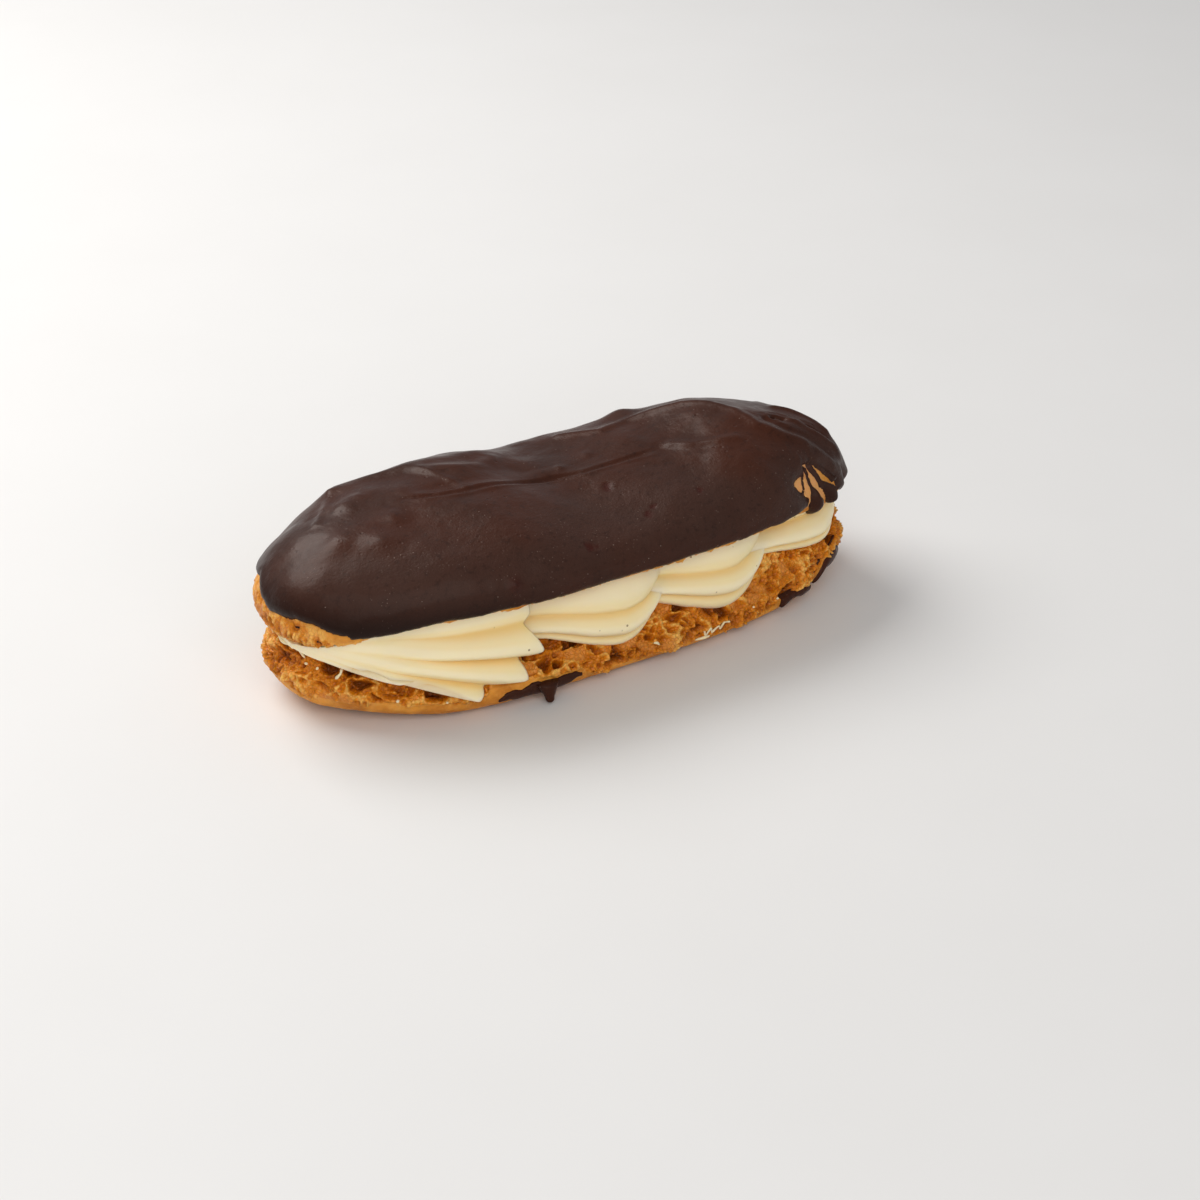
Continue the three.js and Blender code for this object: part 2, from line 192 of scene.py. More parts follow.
# rings closed by the points given at their ends
def capped(grid, first, last=None):
    caps = [np.tile(p, (1, grid.shape[1], 1)) for p in (first, last) if p is not None]
    return np.concatenate([caps[0], grid, *caps[1:]])


# a closed skin from rings of points in mm, with welded ends and its marks as point attributes
def ringSkin(name, grid, marks):
    rows, cols = grid.shape[:2]
    flat = grid.reshape(-1, 3)
    keys = np.round(flat / 1e-3 + 0.137).astype(np.int64)
    _, first, same = np.unique(keys, axis=0, return_index=True, return_inverse=True)
    same = same.reshape(-1)
    r, c = np.meshgrid(np.arange(rows - 1), np.arange(cols), indexing="ij")
    a = r * cols + c
    b = r * cols + (c + 1) % cols
    quads = same[np.stack([a, b, b + cols, a + cols], -1).reshape(-1, 4)]
    faces = [list(dict.fromkeys(q)) for q in quads.tolist()]
    # a wall folded flat onto itself is no skin, so both its sides go
    sides = Counter(frozenset(f) for f in faces)
    faces = [f for f in faces if len(f) > 2 and sides[frozenset(f)] == 1]
    mesh = bpy.data.meshes.new(name)
    mesh.from_pydata(((flat[first] + bun["shift"]) * 0.001).tolist(), [], faces)
    for mark, values in marks.items():
        layer = mesh.attributes.new(mark, "FLOAT", "POINT")
        spread = np.broadcast_to(values, (rows, cols)).reshape(-1)[first]
        layer.data.foreach_set("value", spread.astype(np.float32))
    made = bmesh.new()
    made.from_mesh(mesh)
    bmesh.ops.delete(made, geom=[v for v in made.verts if not v.link_faces], context="VERTS")
    bmesh.ops.recalc_face_normals(made, faces=made.faces)
    made.to_mesh(mesh)
    made.free()
    mesh.shade_smooth()
    return placed(name, mesh)


def joined(name, pieces):
    whole = pieces[0]
    with bpy.context.temp_override(active_object=whole, selected_editable_objects=pieces, object=whole):
        bpy.ops.object.join()
    whole.name = name
    return whole


def finished(piece, material, slot, *nodes):
    piece.data.materials.clear()
    piece.data.materials.append(material)
    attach(piece, "root")
    if nodes:
        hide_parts(*nodes)
    print(piece.name, len(piece.data.vertices), "points")


# a socket's value, which sums and products turn into Math nodes
class Wire:
    def __init__(self, paint, socket):
        self.paint = paint
        self.socket = socket

    def __add__(self, other):
        return self.paint.sum("ADD", self, other)

    def __sub__(self, other):
        return self.paint.sum("SUBTRACT", self, other)

    def __rsub__(self, other):
        return self.paint.sum("SUBTRACT", other, self)

    def __mul__(self, other):
        return self.paint.sum("MULTIPLY", self, other)

    __radd__ = __add__
    __rmul__ = __mul__


class Paint:
    def __init__(self, name):
        self.material = bpy.data.materials.new(name)
        self.material.use_nodes = True
        self.tree = self.material.node_tree
        self.tree.nodes.clear()

    def node(self, kind, settings=None, inputs=None, output=0):
        made = self.tree.nodes.new(kind)
        for key, value in (settings or {}).items():
            if key == "stops":
                ramp = made.color_ramp
                while len(ramp.elements) < len(value):
                    ramp.elements.new(0.5)
                for element, (at, colour) in zip(ramp.elements, value):
                    element.position = at
                    element.color = (*colour, 1)
            else:
                setattr(made, key, value)
        for key, value in (inputs or {}).items():
            if isinstance(value, Wire):
                self.tree.links.new(value.socket, made.inputs[key])
            else:
                made.inputs[key].default_value = value
        return Wire(self, made.outputs[output])

    def sum(self, operation, *values):
        return self.node("ShaderNodeMath", {"operation": operation}, dict(enumerate(values)))

    def mark(self, name):
        return self.node("ShaderNodeAttribute", {"attribute_name": name}, output="Fac")

    def place(self):
        return self.node("ShaderNodeTexCoord", output="Object")

    # noise whose lumps are about this many mm
    def noise(self, size, detail=4, rough=0.55, stretch=None):
        place = self.place()
        if stretch:
            place = self.node("ShaderNodeVectorMath", {"operation": "MULTIPLY"}, {0: place, 1: stretch})
        wanted = {"Vector": place, "Scale": 1000 / size, "Detail": detail, "Roughness": rough}
        return self.node("ShaderNodeTexNoise", inputs=wanted)

    def spots(self, size, feature="F1"):
        wanted = {"Vector": self.place(), "Scale": 1000 / size}
        return self.node("ShaderNodeTexVoronoi", {"feature": feature}, wanted)

    # 0 below low, 1 above high
    def step(self, value, low, high):
        wanted = {"Value": value, "From Min": low, "From Max": high}
        return self.node("ShaderNodeMapRange", {"interpolation_type": "SMOOTHSTEP", "clamp": True}, wanted)

    def blend(self, factor, first, second):
        colours = [c if isinstance(c, Wire) else (*c, 1) for c in (first, second)]
        wanted = {0: factor, 6: colours[0], 7: colours[1]}
        return self.node("ShaderNodeMix", {"data_type": "RGBA"}, wanted, 2)

    def bump(self, height, depth):
        wanted = {"Height": height, "Strength": 1, "Distance": depth * 0.001}
        return self.node("ShaderNodeBump", inputs=wanted)

    def finish(self, **sockets):
        names = {key.replace("_", " "): value for key, value in sockets.items()}
        shader = self.node("ShaderNodeBsdfPrincipled", inputs=names)
        out = self.tree.nodes.new("ShaderNodeOutputMaterial")
        self.tree.links.new(shader.socket, out.inputs["Surface"])
        return self.material


def chouxPaint():
    look = {
        "crust": (0.76, 0.315, 0.04),
        "crustDark": (0.53, 0.18, 0.016),
        "crustPale": (0.8, 0.39, 0.08),
        "bare": (0.66, 0.3, 0.15),  # where the chocolate pulled away
        "strand": (0.93, 0.48, 0.1),
        "wall": (0.74, 0.235, 0.007),
        "deep": (0.5, 0.13, 0.003),
        "hollow": (0.22, 0.05, 0.002),
        "streak": (0.42, 0.18, 0.08),
        "skin": (0.66, 0.28, 0.075),
    }
    p = Paint("bakedChoux")
    torn = p.mark("torn")
    pit = p.mark("pit")
    skin = p.mark("skin")
    crust = p.blend(p.step(p.noise(7, 5), 0.35, 0.62), look["crustDark"], look["crust"])
    crust = p.blend(p.step(p.noise(2.6, 5, 0.65), 0.5, 0.72) * 0.6, crust, look["crustPale"])
    pores = p.step(p.spots(1.3), 0.16, 0.05) * p.step(p.noise(5, 2), 0.45, 0.6)
    crust = p.blend(pores * 0.55, crust, look["crustDark"])
    # painted shade: the crumb's colour goes from the light strands to the dark hollows as its pits deepen
    stops = ((0.02, look["strand"]), (0.2, look["wall"]), (0.5, look["deep"]), (0.85, look["hollow"]))
    crumb = p.node("ShaderNodeValToRGB", {"stops": stops}, {"Fac": pit + (p.noise(1.6, 4) - 0.5) * 0.5})
    film = p.blend(p.noise(0.8, 4, stretch=(1, 1, 0.2)), look["skin"], look["wall"])
    crumb = p.blend(skin * 0.8, crumb, film)
    streaks = p.step(p.noise(1.6, 4, 0.7, (1.4, 1.4, 0.35)), 0.52, 0.66)
    bare = p.blend(streaks * 0.8, p.blend(p.noise(2.2, 4), look["bare"], look["crustPale"]), look["streak"])
    crust = p.blend(p.mark("pale"), crust, bare)
    colour = p.blend(torn, crust, crumb)
    rough = 0.54 - torn * 0.32 + p.noise(1.1, 3) * 0.14
    height = p.noise(0.55, 5, 0.6) * 0.6 + p.noise(1.8, 3) * 0.6 - pores * 0.6
    webs = p.step(p.spots(0.9, "DISTANCE_TO_EDGE"), 0.12, 0.0)
    normal = p.bump(height + (p.noise(0.8, 3, 0.5) * 1.2 + webs * 0.9) * torn, 0.15)
    return p.finish(
        Base_Color=colour,
        Roughness=rough,
        Normal=normal,
        Subsurface_Weight=0.15,
        Subsurface_Radius=(0.002, 0.0007, 0.0002),
        Specular_IOR_Level=0.27,
    )


def creamPaint():
    look = {
        "cream": (0.95, 0.775, 0.44),
        "groove": (0.87, 0.6, 0.22),
        "crest": (0.97, 0.84, 0.58),
        "speck": (0.22, 0.12, 0.04),
    }
    p = Paint("pipedCream")
    deep = p.mark("groove")
    # painted shade: deeper yellow in the grooves between ribs, then a painted highlight: paler on the crests
    colour = p.blend(p.step(deep, 0.25, 0.95), look["cream"], look["groove"])
    colour = p.blend(p.step(deep, 0.25, 0.0) * 0.7, colour, look["crest"])
    speck = p.step(p.spots(3.6), 0.1, 0.06) * p.step(p.noise(6, 2), 0.5, 0.56)
    colour = p.blend(speck * 0.8, colour, look["speck"])
    normal = p.bump(p.noise(0.9, 4) * 0.5 + p.noise(4, 2) * 0.8, 0.07)
    return p.finish(
        Base_Color=colour,
        Roughness=0.42 + p.noise(1.5, 3) * 0.12,
        Normal=normal,
        Subsurface_Weight=0.3,
        Subsurface_Radius=(0.0032, 0.0025, 0.0014),
        Subsurface_Scale=1.0,
        Specular_IOR_Level=0.4,
    )


def chocolatePaint():
    look = {
        "chocolate": (0.036, 0.0118, 0.0066),
        "warm": (0.048, 0.0136, 0.0068),
        "scar": (0.04, 0.006, 0.0035),
        "bloomAndSheenTone": (0.05, 0.025, 0.019),
        "shade": (0.011, 0.004, 0.0028),
        "fleck": (0.3, 0.22, 0.18),
    }
    p = Paint("setChocolate")
    colour = p.blend(p.step(p.noise(22, 3), 0.34, 0.58), look["chocolate"], look["warm"])
    # bloom: a greyer, lighter tone on the front flank round mid height, partly real bloom and partly painted
    # sheen
    colour = p.blend(p.step(p.mark("bloom"), 0.1, 1) * (0.35 + p.noise(7, 4) * 0.5), colour, look["bloomAndSheenTone"])
    # painted shade: the low mark darkens the lower flank
    colour = p.blend(p.mark("low"), colour, look["shade"])
    colour = p.blend(p.mark("scar"), colour, look["scar"])
    colour = p.blend(p.step(p.noise(1.4, 5, 0.7), 0.5, 0.72) * 0.45, colour, look["shade"])
    fleck = p.step(p.spots(1.7), 0.1, 0.05) * p.step(p.noise(9, 3), 0.5, 0.6)
    dust = p.step(p.spots(0.8), 0.2, 0.1) * p.step(p.noise(5, 3), 0.5, 0.62) * (0.25 + p.mark("bloom"))
    colour = p.blend(fleck * 0.55 + dust * 0.24, colour, look["fleck"])
    dents = p.step(p.spots(2.7), 0.2, 0.05) * p.step(p.noise(11, 2), 0.5, 0.6)
    height = p.noise(5.5, 4, 0.5) * 2.0 + p.noise(0.6, 4, 0.65) * (0.2 + p.mark("bloom") * 0.7)
    height = height + fleck * 0.25 - dents * 0.5
    normal = p.bump(height, 0.2)
    rough = 0.24 + p.noise(3.5, 4) * 0.22 + p.mark("bloom") * 0.1
    return p.finish(
        Base_Color=colour,
        Roughness=rough,
        Normal=normal,
        Coat_Weight=0.06,
        Coat_Roughness=0.18,
        Specular_IOR_Level=0.13,
        Specular_Tint=(1, 0.78, 0.68, 1),
    )


chouxLook = chouxPaint()
creamLook = creamPaint()
chocolateLook = chocolatePaint()
print("materials ready")

# the lower half of the bun
base = {
    "turns": 1000,  # points round each ring
    "rim": 11.5,  # height of the torn face's top edge
    "rightSideRim": 19,
    "leftRim": 17.2,
    "rightRim": 18,
    "floor": 8,  # of the hollow for the cream
    "lip": 4.2,  # height where the bottom crust is widest
    "endLip": 8.5,
    "corner": 6,
    "endCorner": 14,
    "crustEdge": 2,  # the crust ends this far above its widest ring
    "face": 6,  # inset of the torn face's top edge
    "tallFace": 7.5,
    "endFace": 3.5,
    "bedInset": 6.5,  # the hollow's floor starts this much further in
    "endBedInset": 13.5,
    "openedLow": 0.8,  # share of the bubbles still shut near the bottom crust, then near the rim
    "openedHigh": 0.3,
    "grain": 0.9,  # size of the crumb's bubbles
    "edgeRow": 24,  # the ring near the crust's broken edge
    # turns where the crust stays whole under the chocolate that ran down
    "whole": ((-2.02, -1.62), (-1.02, -0.38)),
}


def baseSizes(x):
    ends = np.maximum(leftness(x), rightness(x))
    tall = smooth(-10, 40, x)
    lip = mix(base["lip"], base["endLip"], ends)
    rim = bySide(x, mix(base["rim"], base["rightSideRim"], tall), base["leftRim"], base["rightRim"])
    return {
        "lip": lip,
        "edge": lip + base["crustEdge"],
        "corner": mix(base["corner"], base["endCorner"], ends),
        "face": mix(mix(base["face"], base["tallFace"], tall), base["endFace"], ends),
        "rim": rim,
        "bed": mix(base["floor"] + 1, rim - 4, np.maximum(ends, tall * 0.6)),
        "bedInset": mix(base["bedInset"], base["endBedInset"], ends),
    }


def onCorner(turn, swing, lift):
    s = baseSizes(outline(turn)[0])
    a, b = np.sin(np.minimum(swing, math.pi / 2)), np.cos(np.minimum(swing, math.pi / 2))
    above = s["lip"] * np.maximum(0, swing - math.pi / 2)
    return inward(turn, s["corner"] * (1 - a) - lift * a, s["lip"] * (1 - b) - lift * b + above)


# torn crumb: bubbles of three sizes, some open and deep, some still under a thin skin
def tornCrumb(p, size, seed, opened):
    warp = np.stack([lumps(p, 3.4 * size, seed + 40 + k) for k in range(3)], -1) * 1.4 * size
    q = p + warp
    _, wall, own = bubbles(q, np.array([5.4, 4.6, 3.6]) * size, seed)
    isOpen = smooth(opened, opened + 0.08, own)
    big = smooth(0.04, 0.42, wall) * isOpen * mix(1, 2.3, smooth(0.45, 1, own))
    skin = smooth(0.06, 0.25, wall) * smooth(0.3, 0.22, own)
    _, wall2, own2 = bubbles(q, np.array([2.7, 2.4, 2.0]) * size, seed + 10)
    medium = smooth(0.06, 0.5, wall2) * smooth(0.1, 0.3, own2) * mix(0.5, 1.5, own2)
    _, wall3, own3 = bubbles(p + warp * 0.5, np.array([1.6, 1.5, 1.2]) * size, seed + 20)
    medium = medium + 0.45 * smooth(0.08, 0.5, wall3) * smooth(0.2, 0.4, own3)
    strands = 0.5 * np.exp(-((wall / 0.1) ** 2)) + 0.35 * np.exp(-((wall2 / 0.15) ** 2)) * (1 - skin)
    rag = roughness(p, 5.0 * size, 2, seed + 30) * 0.9
    depth = big + medium * (1 - 0.85 * skin) * (1 - 0.4 * isOpen) - rag - strands
    return depth * size, skin


def chouxBase():
    turn = evenTurns(base["turns"])
    x = outline(turn)[0]
    s = baseSizes(x)
    far = reach(turn)
    # each ring's inset and height, and how far it may be torn
    rows = [(mix(far, s["corner"], t), 0 * x, 0) for t in np.linspace(0, 1, 5)]
    for swing in np.linspace(0, math.pi / 2, 14)[1:]:
        inset, z = s["corner"] * (1 - math.sin(swing)), s["lip"] * (1 - math.cos(swing))
        rows.append((inset, z, 0.2 + 0.8 * smooth(0.6, 1, swing)))
    for t in np.linspace(0, 1, 7)[1:]:
        rows.append((0.2 * t + 0 * x, mix(s["lip"], s["edge"], t), 1))
    for t in np.linspace(0, 1, 44)[1:]:
        rows.append((mix(0.2, s["face"], t), mix(s["edge"], s["rim"], t), 1))
    for inset, drop in ((0.5, 0.05), (1.1, 0), (1.8, 0.15), (2.5, 0.5)):
        rows.append((s["face"] + inset, s["rim"] - drop, 1))
    for t in np.linspace(0, 1, 9)[1:]:
        inset = mix(s["face"] + 2.5, s["face"] + s["bedInset"], t)
        rows.append((inset, mix(s["rim"] - 0.5, s["bed"], t), 0.7))
    for t in np.linspace(0, 1, 6)[1:]:
        rows.append((mix(s["face"] + s["bedInset"], far, t), mix(s["bed"], base["floor"], t), 0))
    grid = np.stack([bend(inward(turn, inset, z)) for inset, z, _ in rows])
    weight = np.array([row[2] for row in rows])[:, None]
    out = facing(grid)
    # the crust's edge is broken, and lower along the front than at the ends
    start = mix(mix(0.3, -1.7, smooth(-34, -5, x)), -1.6, leftness(x))
    for first, last in base["whole"]:
        start = start + 2.4 * smooth(first, first + 0.06, turn) * smooth(last, last - 0.06, turn)
    edge = grid[base["edgeRow"]]
    broken = s["lip"] + start + 0.9 * lumps(edge, 5, 40) + 0.6 * lumps(edge, 1.7, 41)
    above = grid[..., 2] - broken[None]
    torn = smooth(-0.15, 0.35, above) * (weight > 0.5)
    lifted = (grid[..., 2] - s["edge"]) / (s["rim"] - s["edge"])
    opened = mix(base["openedLow"], base["openedHigh"], smooth(0.1, 0.9, lifted))
    depth, skin = tornCrumb(grid, base["grain"], 3, opened)
    crust = roughness(grid, 3.4, 3, 50) * 0.16 * smooth(0, 2.5, grid[..., 2])
    fade = np.where(weight >= 0.6, 1, weight)
    moved = mix(crust, 0.25 - depth * fade, torn)
    moved = moved * np.where(weight == 0, 0, 1)
    grid = grid + out * moved[..., None]
    # pit: painted shade, darker the deeper the crumb is torn open
    pit = np.clip(0.26 + depth / 3.4, 0, 1) * torn
    marks = {"torn": torn, "pit": pit, "skin": skin * torn}
    return ringSkin("chouxBase", grid, marks)


finished(chouxBase(), chouxLook, "choux", "choux_base")

# the upper half
lid = {
    "turns": 872,
    "stations": (-42.7, -24, 0, 24, 42.7),  # places along the ridge line
    "crowns": (38.6, 39.3, 35.5, 37.7, 41.5),  # and its height there
    "widestAbove": 3.2,
    "rightWidestAbove": 2,
    "tuckIn": 2.2,
    "leftDome": 2.1,
    "middleDome": 2.35,
    "rightDome": 1.8,
    "edge": 25.4,
    "leftEdge": 18.8,
    "rightEdge": 21,
    "ceiling": 6,
    "leftFuller": 1.5,
    "lip": 0.9,  # how far the thin edge stands out under the chocolate
    "grain": 0.52,
    "opened": 0.6,
    "edgeRow": 24,  # the ring just above the torn edge
    "pale": (-0.98, -0.62),  # turns between which the chocolate pulled the crust bare
}


def lidEdge(x):
    return bySide(x, lid["edge"], lid["leftEdge"], lid["rightEdge"])


# at the front left the torn edge stands higher, and the cream fills up to it
def edgeLift(x):
    return 2.6 * bell(x, -57, 12)


def lidWidest(x):
    return mix(lid["widestAbove"], lid["rightWidestAbove"], smooth(10, 60, x))


def crownAt(x):
    k = np.clip(np.searchsorted(lid["stations"], x) - 1, 0, 3)
    at, high = np.array(lid["stations"]), np.array(lid["crowns"])
    t = np.clip((x - at[k]) / (at[k + 1] - at[k]), 0, 1)
    return mix(high[k], high[k + 1], t * t * (3 - 2 * t))


def ripples(x, y):
    crease = bell(y, 1 - 0.06 * x, 2.5) * smooth(-42, -30, x) * smooth(30, 15, x)
    fold = bell(y, 18, 3) * smooth(-54, -45, x) * smooth(0, -14, x)
    knob = bell(x, 28, 4) * bell(y, 22, 4)
    slow = 0.5 * np.sin(x * 0.13 + 0.6) * np.cos(y * 0.17 + x * 0.04) + 0.35 * np.sin(x * 0.31 + y * 0.22)
    return fold + knob - 1.1 * crease + slow


def onLid(turn, angle, lift):
    x = outline(turn)[0]
    widest = lidEdge(x) + lidWidest(x)
    low = np.minimum(angle, 0)
    lowInset = lid["tuckIn"] * (1 - np.cos(low)) - lift * np.cos(low)
    lowZ = widest + (lidWidest(x) + lift) * np.sin(low)
    along = x / (bun["length"] / 2)
    power = (
        lid["middleDome"]
        + (lid["leftDome"] - lid["middleDome"]) * smooth(-0.35, -0.98, along)
        + (lid["rightDome"] - lid["middleDome"]) * smooth(0.35, 0.98, along)
    )
    full = reach(turn)
    crown = crownAt(spineX(turn))
    high = np.maximum(angle, 0)
    c = np.maximum(np.cos(high), 0) ** (2 / power)
    s = np.sin(high) ** (2 / power)
    flat = inward(turn, full * (1 - c), 0)
    raised = lift + ripples(flat[..., 0], flat[..., 1]) * smooth(0.1, 0.6, high) * 0.6
    nr, nz = c ** (power - 1) / full, s ** (power - 1) / (crown - widest)
    size = np.hypot(nr, nz)
    highInset = full * (1 - c) - raised * nr / size
    highZ = mix(widest, crown, s) + raised * nz / size
    return inward(turn, np.where(angle < 0, lowInset, highInset), np.where(angle < 0, lowZ, highZ))


# the lid's left end is a little fuller low down
def fuller(turn, angle):
    return lid["leftFuller"] * leftness(outline(turn)[0]) * smooth(1.0, 0.1, np.abs(angle - 0.1))


def chouxLid():
    turn = evenTurns(lid["turns"])
    x = outline(turn)[0]
    # the hollow under the lid, from its middle out to the edge
    hollow = (
        (reach(turn), lidEdge(spineX(turn)) + lid["ceiling"]),
        (lid["tuckIn"] + 7, lidEdge(x) + lid["ceiling"] * 0.7),
        (lid["tuckIn"] + 2.4, lidEdge(x) + 0.9),
        (lid["tuckIn"] + 0.6, lidEdge(x) + 0.05),
    )
    rows = []
    for (inset0, z0), (inset1, z1), steps in zip(hollow, hollow[1:], (7, 8, 5)):
        for t in np.arange(steps) / steps:
            rows.append(bend(inward(turn, mix(inset0, inset1, t), mix(z0, z1, t))))
    inner = len(rows)
    stretches = ((-math.pi / 2, 0), (0, 0.6), (0.6, math.pi / 2))
    angles = [np.linspace(low, high, 12)[1:] for low, high in stretches]
    angles = np.concatenate([[-math.pi / 2]] + angles)
    rows += [bend(onLid(turn, angle, fuller(turn, angle))) for angle in angles]
    grid = np.stack(rows)
    out = facing(grid)
    under = (np.arange(len(rows)) < inner)[:, None]
    angleOf = np.concatenate([np.full(inner, -2.0), angles])[:, None]
    edgeRing = grid[lid["edgeRow"]]
    # torn where the halves pulled apart, and round the left end up to near the chocolate
    tornTo = mix(-1.3, 0.08, leftness(x)) + 0.2 * smooth(-66, -73, x) + 0.28 * lumps(edgeRing, 3.5, 60)
    torn = smooth(0.12, -0.12, angleOf - tornTo[None])
    depth, skin = tornCrumb(grid, lid["grain"], 5, lid["opened"])
    edge = smooth(0.0, -1.2, angleOf) * (angleOf > -1.9)
    jag = (0.9 * lumps(grid, 2.4, 61) + 0.4 * lumps(grid, 1.1, 62)) * mix(0.35, 0.9, leftness(x))[None]
    jag = jag + edgeLift(grid[..., 0]) * (grid[..., 1] < 0)
    crust = roughness(grid, 3.4, 3, 63) * 0.14
    moved = mix(crust, 0.25 - depth * 0.75, torn * np.where(under, 0.6, 1))
    moved = moved * smooth(0, 3, np.arange(len(rows)))[:, None] * smooth(1.5, 1.2, angleOf)
    lip = lid["lip"] * (0.5 + 0.7 * lumps(edgeRing, (5, 5, 99), 64)) * bell(angleOf, -1.1, 0.4)
    grid = grid + out * (moved + lip * (angleOf > -1.9))[..., None]
    grid[..., 2] += (jag - 0.7) * edge
    first, last = lid["pale"]
    pale = smooth(first, first + 0.08, turn) * smooth(last, last - 0.08, turn) * (angleOf > -0.6)
    # pit: painted shade, darker the deeper the crumb is torn open
    pit = np.clip(0.16 + depth / 2.3, 0, 1) * torn
    marks = {"torn": torn, "pit": pit, "skin": skin * torn, "pale": pale}
    return ringSkin("chouxLid", grid, marks)


finished(chouxLid(), chouxLook, "choux", "choux_lid")

# chocolate over the top
coat = {
    "turns": 748,
    "risingRows": 96,
    "thickness": 1.7,
    "gap": 0.1,
    "sunk": -0.5,  # where there is no chocolate, its skin lies this deep in the crust
    "backing": -0.9,  # and its inner skin this deep
    "roundedBy": 1.9,  # the edge rounds off over this distance
    "endSide": -0.8,
    "endRight": -0.2,
    # round the left end: turn, and the angle where the chocolate stops
    "leftEnd": (
        (-4.25, -0.8), (-3.95, -0.5), (-3.7, 0.1), (-3.32, 0.31), (-3.17, 0.2), (-3.09, 0.17), (-2.99, 0.19),
        (-2.86, 0.23), (-2.73, 0.16), (-2.69, 0.12), (-2.55, 0.04), (-2.47, -0.15), (-2.39, -0.32),
        (-2.24, -0.68), (-2.1, -0.8),
    ),
    # bare crust at the right end: turn round the bun and height, its outline and the fingers across it
    "bare": (
        (-0.888, 31.9), (-0.86, 32.8), (-0.782, 33.2), (-0.75, 34.5), (-0.697, 34.2), (-0.593, 30.7),
        (-0.537, 27.7), (-0.489, 23.7), (-0.5, 18), (-0.8, 18), (-0.809, 27.5),
    ),
    # each finger's four points, then its half width at the top and at the bottom
    "fingers": (
        ((-0.757, 33.6), (-0.779, 30.5), (-0.764, 27.9), (-0.745, 24.2), 0.4, 1.7),
        ((-0.721, 33.6), (-0.683, 29.0), (-0.628, 26.6), (-0.605, 24.2), 0.55, 1.35),
        ((-0.65, 32.6), (-0.6, 30.2), (-0.565, 28.6), (-0.55, 27.4), 0.5, 0.9),
        ((-0.79, 33.4), (-0.83, 31), (-0.84, 29.5), (-0.845, 28.6), 0.25, 0.35),
    ),
    "mmPerTurn": 45,
    "pimple": (-27.8, -28.6, 31.6),
    "foldHeight": 1.1,
    "foldWidth": 1.05,
}
# the long crease, where the chocolate behind stands higher
crease = {
    "line": (
        (-38, 3), (-30.5, 0.6), (-23.9, -0.2), (-15.6, 0.5), (-9.3, 1.7), (-1.5, 2.0), (5.7, -0.4),
        (15.7, -0.3), (26, -1),
    ),
    "groove": 0.2,
    "width": 0.9,
    "lip": 0.3,
    "step": 0.6,
    "stepWidth": 5.5,
}
# folds on top: points from above, height of the ridge and its width
folds = (
    (((-48.5, 18.8), (-46.1, 20.9), (-43, 21.1), (-36.6, 18.6), (-30.9, 17.5), (-26.6, 13.4),
      (-21.3, 11.4), (-15, 11.3), (-10.2, 14.8)), 0.55, 2.2),
    (((-57.8, 5.9), (-53.1, 11.4), (-50, 15.9), (-48.4, 18.5)), 0.32, 1.0),
    (((-28.6, 14.4), (-26.2, 9.1), (-24.5, 5.1), (-23.7, 0.2)), 0.28, 1.1),
    (((10.6, 20.3), (14.8, 18.2), (18.5, 15.3), (25.9, 16.5), (31.7, 14.9), (37.9, 11.6), (43, 6.5),
      (45.8, -0.1), (47.2, -6.7), (51.4, -10.9), (56, -12.4)), 0.55, 1.4),
    (((27.8, -0.9), (31.1, -4.4), (36, -7.4), (40.3, -9)), 0.4, 1.3),
    (((53.2, -3), (58.3, -4.6), (62, -7.1), (65.8, -8.6), (67.9, -10.7)), 0.7, 1.1),
    (((51, -4.5), (54.5, -8.4), (59, -9.8), (63.5, -11.5)), -0.6, 1.1),
    (((53, -16.2), (56.9, -17.1), (61.6, -17.1), (66.5, -15.2)), 0.5, 1.0),
    (((59, -13.6), (64, -13.6), (68.5, -12.6)), 0.45, 0.9),
    (((58, 3), (63, 0.5), (67.5, -3.5)), 0.5, 0.9),
    (((59, 11.5), (65.5, 8), (70, 2.5)), 0.4, 1.1),
)
# small spots at the right end where the crust shows: x, y, radius
spots = ((54.2, -3.3, 0.4), (55.4, -3.9, 0.25), (62.5, -5.4, 0.4), (65.4, -6.1, 0.45), (69, -11.6, 1.0))
# single lumps: x, y, height, radius
domes = (
    (2, 5, 0.4, 1.3), (-56, -4.6, 0.7, 3.2), (-65, -12, 0.7, 4), (-50.1, 8.2, 1.1, 3.6),
    (-49.9, -9.2, 0.9, 3.6), (-43.5, -2.5, 0.7, 3), (-58, -14, 0.5, 4.5), (-36, 8, 0.4, 3),
    (-59.7, -4.4, 0.5, 4), (-68.7, -8, 0.6, 6), (28.4, 23.2, 0.7, 3), (10.6, 7.3, 0.35, 1.6),
    (-46.1, 9.9, 0.3, 1.5),
)
# small reddish scars on the front flank: x, y, radius, how far each one sinks
scars = (
    (6.7, -8.8, 1.3, 0.25), (10.3, -20.4, 1.1, 0.15), (12.4, -19.2, 0.8, 0.2), (24.6, -19, 1.1, 0.25),
    (-7, -25, 1.4, 0.1),
)


def distanceToLine(x, y, points):
    best = np.full(np.shape(x), 1e9)
    for (x0, y0), (x1, y1) in zip(points, points[1:]):
        dx, dy = x1 - x0, y1 - y0
        t = np.clip(((x - x0) * dx + (y - y0) * dy) / (dx * dx + dy * dy), 0, 1)
        best = np.minimum(best, np.hypot(x0 + dx * t - x, y0 + dy * t - y))
    return best


def insideOf(x, y, points):
    inside = np.zeros(np.shape(x), bool)
    for (x0, y0), (x1, y1) in zip(points, points[1:] + points[:1]):
        crosses = (y0 > y) != (y1 > y)
        at = x0 + (x1 - x0) * (y - y0) / np.where(abs(y1 - y0) < 1e-9, 1e-9, y1 - y0)
        inside ^= crosses & (x < at)
    return inside


